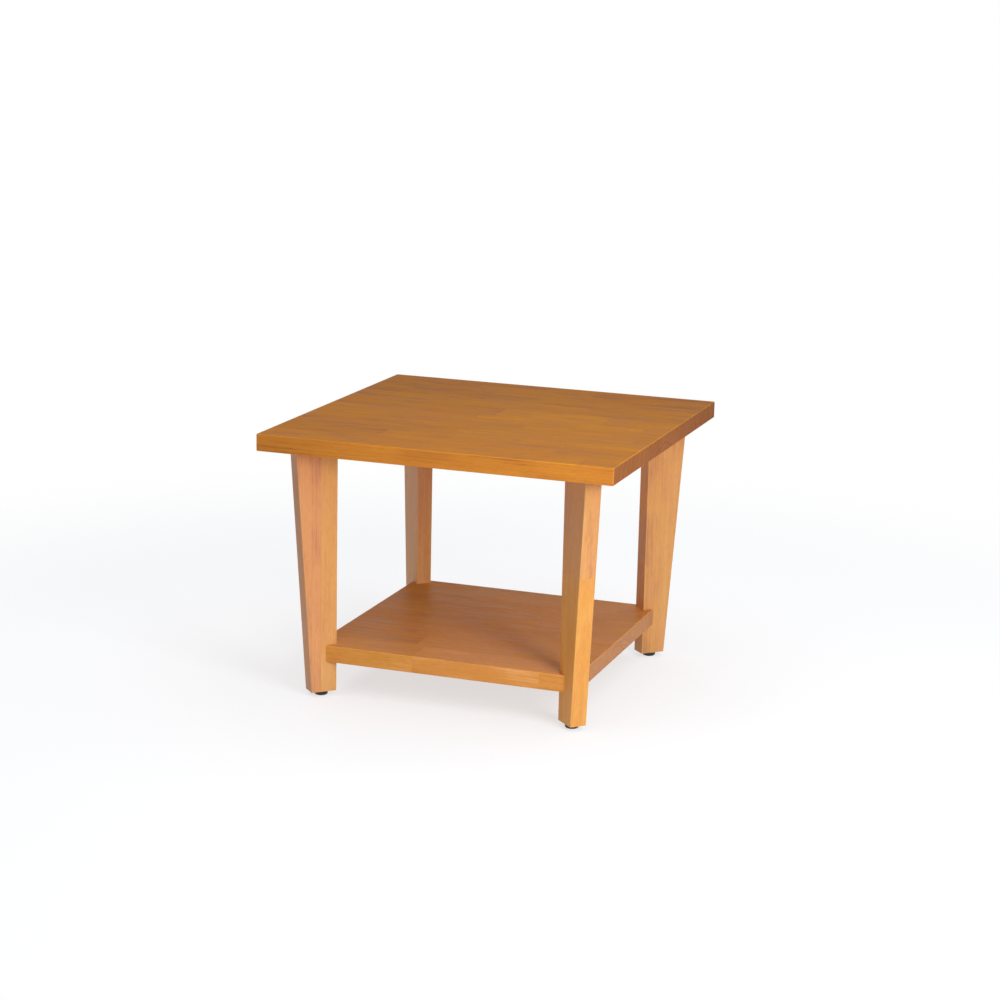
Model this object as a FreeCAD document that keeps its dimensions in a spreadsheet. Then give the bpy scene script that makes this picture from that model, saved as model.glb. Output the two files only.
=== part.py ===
import FreeCAD, Part
import os
import Sketcher

# A square end table with a lower shelf, in millimetres. The origin is on the floor under the middle of
# the top, +Z is up and the front edge of the top faces -Y. Each leg stands diagonally under a corner of
# the top. A leg's own frame has its X pointing outwards along that diagonal, from the middle of the
# leg's inner face, which is upright. Only the outer face is tapered.

SIZES = [
    # overall
    ("top_width", 610.0),
    ("top_depth", 610.0),
    ("table_height", 457.0),
    # top panel
    ("top_thickness", 29.0),
    ("top_arris", 2.0),
    # legs: the inset runs along the diagonal, from the corner of the top to the outer face
    ("leg_thickness", 29.0),
    ("leg_depth_top", 74.0),
    ("leg_depth_foot", 44.5),
    ("leg_inset", 64.0),
    ("leg_arris", 1.5),
    # shelf: its height is that of the upper face, and the lap is how far it covers a leg's sides
    ("shelf_height", 89.0),
    ("shelf_thickness", 29.0),
    ("shelf_lap", 20.0),
    ("shelf_arris", 2.0),
    # steel plates between the legs and the top, with two welded studs each: the overhang is how far a
    # plate runs beyond its leg at either end, and the setback how far inside its leg's sides it stays
    ("plate_overhang", 20.0),
    ("plate_setback", 1.0),
    ("plate_thickness", 3.0),
    ("plate_corner", 4.0),
    ("plate_clearance", 0.4),
    ("stud_pitch", 44.0),
    ("stud_diameter", 8.0),
    ("stud_length", 28.0),
    # pan-head wood screws, one near each end of a plate, set off from the leg's face there
    ("screw_from_leg", 10.0),
    ("screw_diameter", 4.8),
    ("screw_head_diameter", 9.6),
    ("screw_head_height", 2.4),
    ("screw_length", 19.0),
    ("screw_tip", 5.0),
    # hanger bolts from the legs through the shelf's notches, with their square washers and nuts
    ("hanger_diameter", 6.0),
    ("hanger_in_leg", 26.0),
    ("hanger_tip", 5.0),
    ("hanger_beyond_nut", 3.0),
    ("washer_side", 14.0),
    ("washer_thickness", 2.0),
    ("nut_across_flats", 10.0),
    ("nut_thickness", 5.0),
    ("nut_pocket_wall", 26.0),
    ("nut_pocket_length", 34.0),
    ("nut_pocket_width", 24.0),
    ("nut_pocket_headroom", 1.5),
    ("nut_pocket_corner", 4.0),
    # screw-in glides under the legs
    ("glide_diameter", 23.0),
    ("glide_height", 8.0),
    ("glide_edge", 3.5),
    ("stem_diameter", 6.0),
    ("stem_length", 30.0),
    ("stem_head_across_flats", 10.0),
    ("stem_head_height", 4.0),
    ("glide_insert_diameter", 10.0),
    ("glide_insert_length", 13.0),
    # clearances: around a thread or a glued stud, and around a bolt or screw in a plain hole
    ("thread_clearance", 0.05),
    ("bolt_clearance", 0.35),
    # how much deeper a blind hole is than what it takes, and how far a cut starts outside its piece
    ("hole_reserve", 2.0),
    ("overrun", 1.0),
]

# two places nearer than this are one
SAME_PLACE = 0.001

V = FreeCAD.Vector
UP = V(0, 0, 1)

doc = FreeCAD.newDocument("EndTable")
sheet = doc.addObject("Spreadsheet::Sheet", "Sizes")
for row, (alias, size) in enumerate(SIZES, 1):
    sheet.set(f"A{row}", alias)
    sheet.set(f"B{row}", str(size))
    sheet.setAlias(f"B{row}", alias)
doc.recompute()

# places and lengths that follow from the sizes
TOP_UNDERSIDE = "(Sizes.table_height - Sizes.top_thickness)"
LEG_LENGTH = f"({TOP_UNDERSIDE} - Sizes.glide_height)"
LEG_X = "(Sizes.top_width / 2 - (Sizes.leg_inset + Sizes.leg_depth_top) / sqrt(2))"
LEG_Y = "(Sizes.top_depth / 2 - (Sizes.leg_inset + Sizes.leg_depth_top) / sqrt(2))"
LEG_HALF_ASIDE = "(Sizes.leg_thickness / 2 / sqrt(2))"
LAP_ASIDE = "(Sizes.shelf_lap / sqrt(2))"
SHELF_HALF_WIDTH = f"({LEG_X} + {LEG_HALF_ASIDE} + {LAP_ASIDE})"
SHELF_HALF_DEPTH = f"({LEG_Y} + {LEG_HALF_ASIDE} + {LAP_ASIDE})"
SHELF_UNDERSIDE = "(Sizes.shelf_height - Sizes.shelf_thickness)"
SHELF_MIDDLE = "(Sizes.shelf_height - Sizes.shelf_thickness / 2)"
FOOT_MIDDLE = "(Sizes.leg_depth_foot / 2)"
PLATE_HALF_WIDTH = "(Sizes.leg_thickness / 2 - Sizes.plate_setback)"
SCREW_PLACES = ["-Sizes.screw_from_leg", "Sizes.leg_depth_top + Sizes.screw_from_leg"]
STUD_PLACES = [f"Sizes.leg_depth_top / 2 {sign} Sizes.stud_pitch / 2" for sign in "-+"]
HANGER_IN_SHELF = (
    "(Sizes.nut_pocket_wall + Sizes.washer_thickness + Sizes.nut_thickness + Sizes.hanger_beyond_nut)"
)

# the corners: name, sign of X, sign of Y, and the turn that points a leg's X outwards
CORNERS = [
    ("front_left", -1, -1, 225),
    ("front_right", 1, -1, 315),
    ("back_left", -1, 1, 135),
    ("back_right", 1, 1, 45),
]


def number(expression):
    """The present value of an expression over the sheet."""
    return float(sheet.evalExpression(expression))


def corner_point(corner, outwards="0", sideways="0"):
    """Table X and Y of a point that is given in the frame of a corner's leg."""
    name, sign_x, sign_y, turn = corner
    x = f"{sign_x} * {LEG_X} + ({sign_x} * ({outwards}) - {sign_y} * ({sideways})) / sqrt(2)"
    y = f"{sign_y} * {LEG_Y} + ({sign_y} * ({outwards}) + {sign_x} * ({sideways})) / sqrt(2)"
    return x, y


def new_body(label):
    body = doc.addObject("PartDesign::Body", label)
    body.Label = label
    return body


def place(thing, x, y, z, rotation=FreeCAD.Rotation()):
    thing.Placement = FreeCAD.Placement(V(0, 0, 0), rotation)
    for axis, expression in zip("xyz", (x, y, z)):
        thing.setExpression(f"Placement.Base.{axis}", expression)


def origin_plane(body, role):
    return next(feature for feature in body.Origin.OriginFeatures if feature.Role == role)


def attach(feature, body, role, offset=("0", "0", "0"), rotation=FreeCAD.Rotation()):
    """Seats a sketch or a primitive on an origin plane, offset in that plane's own frame."""
    feature.AttachmentSupport = [(origin_plane(body, role), "")]
    feature.MapMode = "FlatFace"
    feature.AttachmentOffset = FreeCAD.Placement(V(0, 0, 0), rotation)
    for axis, expression in zip("xyz", offset):
        feature.setExpression(f"AttachmentOffset.Base.{axis}", expression)


def new_sketch(body, name, role, offset=("0", "0", "0"), rotation=FreeCAD.Rotation()):
    sketch = body.newObject("Sketcher::SketchObject", name)
    attach(sketch, body, role, offset, rotation)
    return sketch


def dimension(sketch, constraint, expression):
    index = sketch.addConstraint(constraint)
    name = f"size{index}"
    sketch.renameConstraint(index, name)
    sketch.setExpression(f"Constraints.{name}", expression)


def pin_point(sketch, item, end, x, y):
    """Fixes a point of a sketch at X and Y, which are expressions over the sheet."""
    for kind, expression, axis in (("DistanceX", x, -2), ("DistanceY", y, -1)):
        if expression == "0":
            sketch.addConstraint(Sketcher.Constraint("PointOnObject", item, end, axis))
        else:
            constraint = Sketcher.Constraint(kind, -1, 1, item, end, number(expression))
            dimension(sketch, constraint, expression)


def polygon(sketch, points):
    """A closed outline through points whose coordinates are expressions over the sheet."""
    corners = [V(number(x), number(y), 0) for x, y in points]
    following = corners[1:] + corners[:1]
    lines = [sketch.addGeometry(Part.LineSegment(a, b)) for a, b in zip(corners, following)]
    for line, after in zip(lines, lines[1:] + lines[:1]):
        sketch.addConstraint(Sketcher.Constraint("Coincident", line, 2, after, 1))
    for line, (x, y) in zip(lines, points):
        pin_point(sketch, line, 1, x, y)


def rectangle(sketch, left, right, half_width):
    polygon(
        sketch,
        [
            (left, f"-({half_width})"),
            (right, f"-({half_width})"),
            (right, half_width),
            (left, half_width),
        ],
    )


def hexagon(sketch, across_flats):
    flat = f"({across_flats}) / 2"
    low = f"({across_flats}) / 2 / sqrt(3)"
    tip = f"({across_flats}) / sqrt(3)"
    polygon(
        sketch,
        [
            (flat, f"-{low}"),
            (flat, low),
            ("0", tip),
            (f"-{flat}", low),
            (f"-{flat}", f"-{low}"),
            ("0", f"-{tip}"),
        ],
    )


def circle(sketch, x, y, radius):
    centre = V(number(x), number(y), 0)
    item = sketch.addGeometry(Part.Circle(centre, UP, number(radius)))
    pin_point(sketch, item, 3, x, y)
    dimension(sketch, Sketcher.Constraint("Radius", item, number(radius)), radius)


def pad(body, name, sketch, length, symmetric=False, downwards=False):
    feature = body.newObject("PartDesign::Pad", name)
    feature.Profile = sketch
    feature.SideType = "Symmetric" if symmetric else "One side"
    feature.Reversed = downwards
    feature.setExpression("Length", length)
    doc.recompute()
    return feature


def revolve(body, name, points):
    """A body of revolution about Z from a half profile in X and Z."""
    sketch = new_sketch(body, f"{name}Profile", "XZ_Plane")
    polygon(sketch, points)
    feature = body.newObject("PartDesign::Revolution", name)
    feature.Profile = sketch
    feature.ReferenceAxis = (sketch, ["V_Axis"])
    doc.recompute()
    return feature


def check_cut(feature, before):
    if not feature.Shape.Volume < before.Shape.Volume:
        raise RuntimeError(f"{feature.Label} cuts nothing")


def pocket(body, name, sketch, depth, upwards=False):
    before = body.Tip
    feature = body.newObject("PartDesign::Pocket", name)
    feature.Profile = sketch
    feature.Reversed = upwards
    feature.setExpression("Length", depth)
    doc.recompute()
    check_cut(feature, before)
    return feature


def bore(body, name, role, offset, radius, depth, rotation=FreeCAD.Rotation()):
    """A round hole that runs from its place along the normal of an origin plane."""
    before = body.Tip
    feature = body.newObject("PartDesign::SubtractiveCylinder", name)
    attach(feature, body, role, offset, rotation)
    feature.setExpression("Radius", radius)
    feature.setExpression("Height", depth)
    doc.recompute()
    check_cut(feature, before)
    return feature


def to_every_corner(body, originals):
    """Repeats cuts made at the back right corner at the other three."""
    before = body.Tip
    pattern = body.newObject("PartDesign::MultiTransform", "EveryCorner")
    pattern.Originals = originals
    mirrors = []
    for role in ("YZ_Plane", "XZ_Plane"):
        mirror = body.newObject("PartDesign::Mirrored", f"Over{role}")
        mirror.MirrorPlane = (origin_plane(body, role), [""])
        mirrors.append(mirror)
    pattern.Transformations = mirrors
    body.Tip = pattern
    doc.recompute()
    check_cut(pattern, before)
    return pattern


def soften(body, name, chosen, radius):
    """Rounds the edges that the test picks out of the body so far."""
    before = body.Tip
    picked = [f"Edge{n}" for n, edge in enumerate(before.Shape.Edges, 1) if chosen(edge)]
    if not picked:
        raise RuntimeError(f"{name} finds no edge")
    feature = body.newObject("PartDesign::Fillet", name)
    feature.Base = (before, picked)
    feature.setExpression("Radius", radius)
    doc.recompute()
    return feature


def same(a, b):
    return abs(a - b) < SAME_PLACE


def upright(edge, length):
    """An edge that runs straight up for a given length."""
    box = edge.BoundBox
    return same(box.ZLength, length) and same(box.XLength, 0) and same(box.YLength, 0)


def group(label, shape_body, places):
    """A node of identical fasteners: one body linked to each of its places."""
    links = []
    for n, (x, y, z, rotation) in enumerate(places, 1):
        link = doc.addObject("App::Link", f"{label}_{n}")
        link.LinkedObject = shape_body
        place(link, x, y, z, rotation)
        links.append(link)
    compound = doc.addObject("Part::Compound", label)
    compound.Label = label
    compound.Links = links
    return compound


nodes = []

# The top: a square panel with rounded edges, and in its underside a recess over each leg for the plate
# and pilot holes for the plate's screws.
top = new_body("table_top")
place(top, "0", "0", TOP_UNDERSIDE)
outline = new_sketch(top, "TopOutline", "XY_Plane")
rectangle(outline, "-Sizes.top_width / 2", "Sizes.top_width / 2", "Sizes.top_depth / 2")
pad(top, "TopPanel", outline, "Sizes.top_thickness")
soften(top, "TopArris", lambda edge: True, "Sizes.top_arris")

diagonal = FreeCAD.Rotation(UP, 45)
recess_sketch = new_sketch(top, "PlateRecessOutline", "XY_Plane", (LEG_X, LEG_Y, "0"), diagonal)
rectangle(
    recess_sketch,
    "-(Sizes.plate_overhang + Sizes.plate_clearance)",
    "Sizes.leg_depth_top + Sizes.plate_overhang + Sizes.plate_clearance",
    f"{PLATE_HALF_WIDTH} + Sizes.plate_clearance",
)
recess = pocket(top, "PlateRecess", recess_sketch, "Sizes.plate_thickness", upwards=True)
pilot_sketch = new_sketch(top, "PilotHolePlaces", "XY_Plane", (LEG_X, LEG_Y, "0"), diagonal)
for outwards in SCREW_PLACES:
    circle(pilot_sketch, outwards, "0", "Sizes.screw_diameter / 2 + Sizes.thread_clearance")
pilots = pocket(
    top, "PilotHoles", pilot_sketch, "Sizes.screw_length + Sizes.hole_reserve", upwards=True
)
to_every_corner(top, [recess, pilots])
plate_thickness = number("Sizes.plate_thickness")
soften(
    top,
    "RecessCorners",
    lambda edge: upright(edge, plate_thickness),
    "Sizes.plate_corner + Sizes.plate_clearance",
)
nodes.append(top)

# The shelf: a square panel whose corners are notched diagonally, so that each leg sits in a notch with
# its inner face on the notch's floor and the panel lapping both its sides. From each notch a bolt hole
# runs inwards to a nut pocket in the underside.
shelf = new_body("shelf")
place(shelf, "0", "0", SHELF_UNDERSIDE)
outline = new_sketch(shelf, "ShelfOutline", "XY_Plane")
notch = [
    (SHELF_HALF_WIDTH, f"({LEG_Y} - {LEG_HALF_ASIDE} + {LAP_ASIDE})"),
    (f"({LEG_X} + {LEG_HALF_ASIDE})", f"({LEG_Y} - {LEG_HALF_ASIDE})"),
    (f"({LEG_X} - {LEG_HALF_ASIDE})", f"({LEG_Y} + {LEG_HALF_ASIDE})"),
    (f"({LEG_X} - {LEG_HALF_ASIDE} + {LAP_ASIDE})", SHELF_HALF_DEPTH),
]
polygon(
    outline,
    notch
    + [(f"-{x}", y) for x, y in reversed(notch)]
    + [(f"-{x}", f"-{y}") for x, y in notch]
    + [(x, f"-{y}") for x, y in reversed(notch)],
)
pad(shelf, "ShelfPanel", outline, "Sizes.shelf_thickness")
half_width = number(SHELF_HALF_WIDTH)
half_depth = number(SHELF_HALF_DEPTH)


def on_outer_edge(edge):
    """A level edge along one of the four straight sides of the shelf."""
    box = edge.BoundBox
    on_side = same(box.XLength, 0) and same(abs(box.XMin), half_width)
    on_front_or_back = same(box.YLength, 0) and same(abs(box.YMin), half_depth)
    return same(box.ZLength, 0) and (on_side or on_front_or_back)


soften(shelf, "ShelfArris", on_outer_edge, "Sizes.shelf_arris")
hanger_bore = bore(
    shelf,
    "HangerBore",
    "XZ_Plane",
    (
        f"{LEG_X} + Sizes.overrun / sqrt(2)",
        "Sizes.shelf_thickness / 2",
        f"-({LEG_Y} + Sizes.overrun / sqrt(2))",
    ),
    "Sizes.hanger_diameter / 2 + Sizes.bolt_clearance",
    f"2 * Sizes.overrun + {HANGER_IN_SHELF}",
    FreeCAD.Rotation(V(0, 1, 0), -45),
)
pocket_sketch = new_sketch(shelf, "NutPocketOutline", "XY_Plane", (LEG_X, LEG_Y, "0"), diagonal)
rectangle(
    pocket_sketch,
    "-(Sizes.nut_pocket_wall + Sizes.nut_pocket_length)",
    "-Sizes.nut_pocket_wall",
    "Sizes.nut_pocket_width / 2",
)
POCKET_DEPTH = "(Sizes.shelf_thickness / 2 + Sizes.washer_side / 2 + Sizes.nut_pocket_headroom)"
nut_pocket = pocket(shelf, "NutPocket", pocket_sketch, POCKET_DEPTH, upwards=True)
to_every_corner(shelf, [hanger_bore, nut_pocket])
pocket_depth = number(POCKET_DEPTH)
soften(
    shelf,
    "NutPocketCorners",
    lambda edge: upright(edge, pocket_depth),
    "Sizes.nut_pocket_corner",
)
nodes.append(shelf)


def make_leg(corner):
    """A leg: tapered outer face, bores in the top for studs, below for the glide, inside for the bolt."""
    body = new_body(f"leg_{corner[0]}")
    place(body, *corner_point(corner), "Sizes.glide_height", FreeCAD.Rotation(UP, corner[3]))
    side = new_sketch(body, "LegSide", "XZ_Plane")
    polygon(
        side,
        [
            ("0", "0"),
            ("Sizes.leg_depth_foot", "0"),
            ("Sizes.leg_depth_top", LEG_LENGTH),
            ("0", LEG_LENGTH),
        ],
    )
    pad(body, "LegBlank", side, "Sizes.leg_thickness", symmetric=True)
    long_edge = number(LEG_LENGTH)
    soften(
        body,
        "LegArris",
        lambda edge: same(edge.BoundBox.ZLength, long_edge),
        "Sizes.leg_arris",
    )
    bore(
        body,
        "GlideBore",
        "XY_Plane",
        (FOOT_MIDDLE, "0", "0"),
        "Sizes.glide_insert_diameter / 2 + Sizes.thread_clearance",
        "Sizes.stem_length + Sizes.hole_reserve",
    )
    stud_bore_depth = "(Sizes.stud_length + Sizes.hole_reserve)"
    for outwards in STUD_PLACES:
        bore(
            body,
            "StudBore",
            "XY_Plane",
            (outwards, "0", f"{LEG_LENGTH} - {stud_bore_depth}"),
            "Sizes.stud_diameter / 2 + Sizes.thread_clearance",
            stud_bore_depth,
        )
    bore(
        body,
        "HangerBore",
        "YZ_Plane",
        ("0", f"{SHELF_MIDDLE} - Sizes.glide_height", "0"),
        "Sizes.hanger_diameter / 2 + Sizes.thread_clearance",
        "Sizes.hanger_in_leg + Sizes.hole_reserve",
    )
    return body


def make_plate(corner):
    """A leg's steel plate: a screw hole near each end, and two studs that go down into the leg."""
    body = new_body(f"leg_plate_{corner[0]}")
    place(body, *corner_point(corner), TOP_UNDERSIDE, FreeCAD.Rotation(UP, corner[3]))
    outline = new_sketch(body, "PlateOutline", "XY_Plane")
    rectangle(
        outline,
        "-Sizes.plate_overhang",
        "Sizes.leg_depth_top + Sizes.plate_overhang",
        PLATE_HALF_WIDTH,
    )
    pad(body, "PlateBlank", outline, "Sizes.plate_thickness")
    soften(
        body,
        "PlateCorners",
        lambda edge: upright(edge, plate_thickness),
        "Sizes.plate_corner",
    )
    holes = new_sketch(body, "ScrewHolePlaces", "XY_Plane")
    for outwards in SCREW_PLACES:
        circle(holes, outwards, "0", "Sizes.screw_diameter / 2 + Sizes.bolt_clearance")
    pocket(body, "ScrewHoles", holes, "Sizes.plate_thickness", upwards=True)
    studs = new_sketch(body, "StudPlaces", "XY_Plane")
    for outwards in STUD_PLACES:
        circle(studs, outwards, "0", "Sizes.stud_diameter / 2")
    pad(body, "Studs", studs, "Sizes.stud_length", downwards=True)
    return body


def make_stem(corner):
    """A glide's screw: hexagonal head below, which sits in the foot, and a plain shank above."""
    body = new_body(f"glide_stem_{corner[0]}")
    x, y = corner_point(corner, FOOT_MIDDLE)
    place(body, x, y, "Sizes.glide_height - Sizes.stem_head_height", FreeCAD.Rotation(UP, corner[3]))
    head = new_sketch(body, "StemHead", "XY_Plane")
    hexagon(head, "Sizes.stem_head_across_flats")
    pad(body, "Head", head, "Sizes.stem_head_height")
    shank = new_sketch(body, "StemShank", "XY_Plane", ("0", "0", "Sizes.stem_head_height"))
    circle(shank, "0", "0", "Sizes.stem_diameter / 2")
    pad(body, "Shank", shank, "Sizes.stem_length")
    return body


def make_foot(corner):
    """A glide's foot: a disc with a bevelled sole and a hexagonal socket for the stem's head."""
    body = new_body(f"glide_foot_{corner[0]}")
    x, y = corner_point(corner, FOOT_MIDDLE)
    place(body, x, y, "0", FreeCAD.Rotation(UP, corner[3]))
    revolve(
        body,
        "Disc",
        [
            ("0", "0"),
            ("Sizes.glide_diameter / 2 - Sizes.glide_edge", "0"),
            ("Sizes.glide_diameter / 2", "Sizes.glide_edge"),
            ("Sizes.glide_diameter / 2", "Sizes.glide_height"),
            ("0", "Sizes.glide_height"),
        ],
    )
    socket = new_sketch(body, "HeadSocket", "XY_Plane", ("0", "0", "Sizes.glide_height"))
    hexagon(socket, "Sizes.stem_head_across_flats + 2 * Sizes.thread_clearance")
    pocket(body, "Socket", socket, "Sizes.stem_head_height")
    return body


for corner in CORNERS:
    nodes.append(make_leg(corner))
    nodes.append(make_plate(corner))
    nodes.append(make_stem(corner))
    nodes.append(make_foot(corner))

# Pan-head wood screw, pointing up, with its head against the plate's lower face.
screw = new_body("plate_screw_shape")
revolve(
    screw,
    "Screw",
    [
        ("0", "-Sizes.screw_head_height"),
        ("Sizes.screw_head_diameter / 2", "-Sizes.screw_head_height"),
        ("Sizes.screw_head_diameter / 2", "0"),
        ("Sizes.screw_diameter / 2", "0"),
        ("Sizes.screw_diameter / 2", "Sizes.screw_length - Sizes.screw_tip"),
        ("0", "Sizes.screw_length"),
    ],
)
nodes.append(
    group(
        "plate_screws",
        screw,
        [
            (*corner_point(corner, outwards), TOP_UNDERSIDE, FreeCAD.Rotation())
            for corner in CORNERS
            for outwards in SCREW_PLACES
        ],
    )
)

# Threaded bush for a glide's stem, in the bottom of each leg and flush with the end grain.
insert = new_body("glide_insert_shape")
insert_outline = new_sketch(insert, "InsertOutline", "XY_Plane")
circle(insert_outline, "0", "0", "Sizes.glide_insert_diameter / 2")
circle(insert_outline, "0", "0", "Sizes.stem_diameter / 2 + Sizes.thread_clearance")
pad(insert, "Insert", insert_outline, "Sizes.glide_insert_length")
nodes.append(
    group(
        "glide_inserts",
        insert,
        [
            (*corner_point(corner, FOOT_MIDDLE), "Sizes.glide_height", FreeCAD.Rotation())
            for corner in CORNERS
        ],
    )
)

# Hanger bolt, lying along its leg's diagonal: its Z points outwards from the leg's inner face.
hanger = new_body("hanger_bolt_shape")
revolve(
    hanger,
    "Hanger",
    [
        ("0", f"-{HANGER_IN_SHELF}"),
        ("Sizes.hanger_diameter / 2", f"-{HANGER_IN_SHELF}"),
        ("Sizes.hanger_diameter / 2", "Sizes.hanger_in_leg - Sizes.hanger_tip"),
        ("0", "Sizes.hanger_in_leg"),
    ],
)
washer = new_body("washer_shape")
washer_outline = new_sketch(washer, "WasherOutline", "XY_Plane")
rectangle(washer_outline, "-Sizes.washer_side / 2", "Sizes.washer_side / 2", "Sizes.washer_side / 2")
circle(washer_outline, "0", "0", "Sizes.hanger_diameter / 2 + Sizes.bolt_clearance")
pad(washer, "Washer", washer_outline, "Sizes.washer_thickness")
nut = new_body("nut_shape")
nut_outline = new_sketch(nut, "NutOutline", "XY_Plane")
hexagon(nut_outline, "Sizes.nut_across_flats")
circle(nut_outline, "0", "0", "Sizes.hanger_diameter / 2 + Sizes.thread_clearance")
pad(nut, "Nut", nut_outline, "Sizes.nut_thickness")


def lying_outwards(label, shape_body, outwards):
    """A group of pieces on the hanger bolts, each turned so that its Z points outwards."""
    places = []
    for corner in CORNERS:
        rotation = FreeCAD.Rotation(UP, corner[3]) * FreeCAD.Rotation(V(0, 1, 0), 90)
        places.append((*corner_point(corner, outwards), SHELF_MIDDLE, rotation))
    return group(label, shape_body, places)


nodes.append(lying_outwards("hanger_bolts", hanger, "0"))
nodes.append(
    lying_outwards("hanger_washers", washer, "-(Sizes.nut_pocket_wall + Sizes.washer_thickness)")
)
nodes.append(
    lying_outwards(
        "hanger_nuts",
        nut,
        "-(Sizes.nut_pocket_wall + Sizes.washer_thickness + Sizes.nut_thickness)",
    )
)

doc.recompute()
failed = [thing.Label for thing in doc.Objects if {"Invalid", "Error"} & set(thing.State)]
if failed:
    raise RuntimeError(f"these did not compute: {failed}")
for node in nodes:
    if node.Shape.isNull() or not node.Shape.isValid():
        raise RuntimeError(f"{node.Label} has no valid shape")

os.makedirs("parts", exist_ok=True)
for node in nodes:
    node.Shape.exportStep(f"parts/{node.Label}.step")
print(f"{len(nodes)} nodes written")
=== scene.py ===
# %% [markdown]
# # An end table with a shelf
#
# The table has a square top of glued-up staves. Four tapered legs stand diagonally under its corners, and
# a lower shelf is notched around them. Black glides screw into the legs from below. The CAD frame already
# has every piece at its true size, so the wooden solids stay as they are and get their finish here. The
# moulded and threaded pieces, which CAD keeps plain, are modelled again.

# %% Load the CAD frame
import math

import bmesh
import bpy
from mathutils import Matrix, Vector


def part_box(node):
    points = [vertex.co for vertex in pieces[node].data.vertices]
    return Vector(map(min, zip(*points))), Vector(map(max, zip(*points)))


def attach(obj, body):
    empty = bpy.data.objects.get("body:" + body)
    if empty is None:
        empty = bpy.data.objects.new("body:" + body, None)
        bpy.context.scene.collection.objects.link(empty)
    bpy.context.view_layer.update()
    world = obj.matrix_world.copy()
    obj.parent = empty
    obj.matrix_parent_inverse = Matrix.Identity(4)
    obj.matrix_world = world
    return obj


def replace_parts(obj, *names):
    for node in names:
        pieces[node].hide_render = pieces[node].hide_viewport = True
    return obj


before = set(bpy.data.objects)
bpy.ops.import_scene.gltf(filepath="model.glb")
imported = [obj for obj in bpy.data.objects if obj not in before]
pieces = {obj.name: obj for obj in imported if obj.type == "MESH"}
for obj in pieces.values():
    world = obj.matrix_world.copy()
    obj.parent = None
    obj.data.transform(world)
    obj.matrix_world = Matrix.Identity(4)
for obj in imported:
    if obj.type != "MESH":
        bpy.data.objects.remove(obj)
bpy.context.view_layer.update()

MM = 0.001

# %% [markdown]
# ## Small tools for shader nodes
#
# A finish is a tree of nodes. In the shader editor you would add each node and draw its noodles by hand.
# Here one short helper does both: the settings are what the node's panel shows, and each feed is either a
# number or the output of a node made before. Sums and mixes come up so often that they get a helper each.


# %% Tools for shader nodes
def feed(tree, socket, source):
    """Joins an output to a socket, or sets the socket's own value."""
    if isinstance(source, bpy.types.NodeSocket):
        tree.links.new(source, socket)
    else:
        socket.default_value = source


def node(tree, kind, feeds=None, **settings):
    """Adds a node with its panel's settings, and feeds the sockets that are named."""
    made = tree.nodes.new(f"ShaderNode{kind}")
    for name, value in settings.items():
        setattr(made, name, value)
    for name, source in (feeds or {}).items():
        feed(tree, made.inputs[name], source)
    return made


def reckon(tree, operation, *values):
    """A sum on plain numbers."""
    made = node(tree, "Math", operation=operation)
    for socket, value in zip(made.inputs, values):
        feed(tree, socket, value)
    return made.outputs[0]


def reckon_vector(tree, operation, *values):
    """A sum on vectors. A length comes out as a number."""
    made = node(tree, "VectorMath", operation=operation)
    for socket, value in zip(made.inputs, values):
        feed(tree, socket, value)
    return made.outputs["Value" if operation == "LENGTH" else "Vector"]


def average(tree, first, second):
    """Half of one number and half of another."""
    return reckon(tree, "ADD", reckon(tree, "MULTIPLY", first, 0.5), reckon(tree, "MULTIPLY", second, 0.5))


# %% [markdown]
# Most patterns of the finishes start as noise. Its values crowd around one half and hardly come near 0 or
# 1, so a helper stretches the span that they do fill. The noise itself can be stretched too: a round speck
# that is squeezed in two directions becomes a long fibre.

# %% Tools for colours and patterns
NOISE_SPAN = (0.3, 0.7)
# A Mix node has sockets for numbers, vectors and colours side by side. These are the share, which all of
# them use, and the ones for colours.
MIX_SHARE, MIX_FIRST, MIX_SECOND, MIX_RESULT = 0, 6, 7, 2


def blend(tree, share, first, second, kind="MIX"):
    """Mixes two colours."""
    made = node(tree, "Mix", data_type="RGBA", blend_type=kind)
    for index, source in ((MIX_SHARE, share), (MIX_FIRST, first), (MIX_SECOND, second)):
        feed(tree, made.inputs[index], source)
    return made.outputs[MIX_RESULT]


def spread(tree, value, low, high, to_low=0.0, to_high=1.0):
    """Stretches a span of values to a new one, with soft ends."""
    feeds = {"Value": value, "From Min": low, "From Max": high, "To Min": to_low, "To Max": to_high}
    return node(tree, "MapRange", feeds, interpolation_type="SMOOTHSTEP").outputs[0]


def cloud(tree, place, grain, detail):
    """Noise with so many grains to the metre in each direction. Its values fill 0 to 1."""
    place = reckon_vector(tree, "MULTIPLY", place, grain)
    noise = node(tree, "TexNoise", {"Vector": place, "Scale": 1.0, "Detail": detail})
    return spread(tree, noise.outputs[0], *NOISE_SPAN)


def split(tree, vector):
    """The three parts of a vector."""
    return node(tree, "SeparateXYZ", {"Vector": vector}).outputs


# %% [markdown]
# A finish starts as a new material. Blender puts a Principled shader in its tree, which can stand for wood,
# metal and nylon alike, so each finish only has to feed that shader's sockets.


# %% Tools for finishes
def new_finish(name):
    """A new material, with its tree and its main shader."""
    material = bpy.data.materials.new(name)
    material.use_nodes = True
    return material, material.node_tree, material.node_tree.nodes["Principled BSDF"]


def wear(piece, material):
    """Gives a piece its finish as its only material."""
    piece.data.materials.clear()
    piece.data.materials.append(material)


# %% [markdown]
# ## Solid wood as one group of nodes
#
# Wood is grown, so its pattern goes right through the board: the growth rings that draw long lines on a
# face draw arcs on its end. A pattern laid on the surface can't do that. This group works in the board's
# own space, with X along the grain, and asks how far each point is from the middle of its tree. What the
# group needs to know about a board comes in through sockets, so one group serves the whole table.

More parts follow.
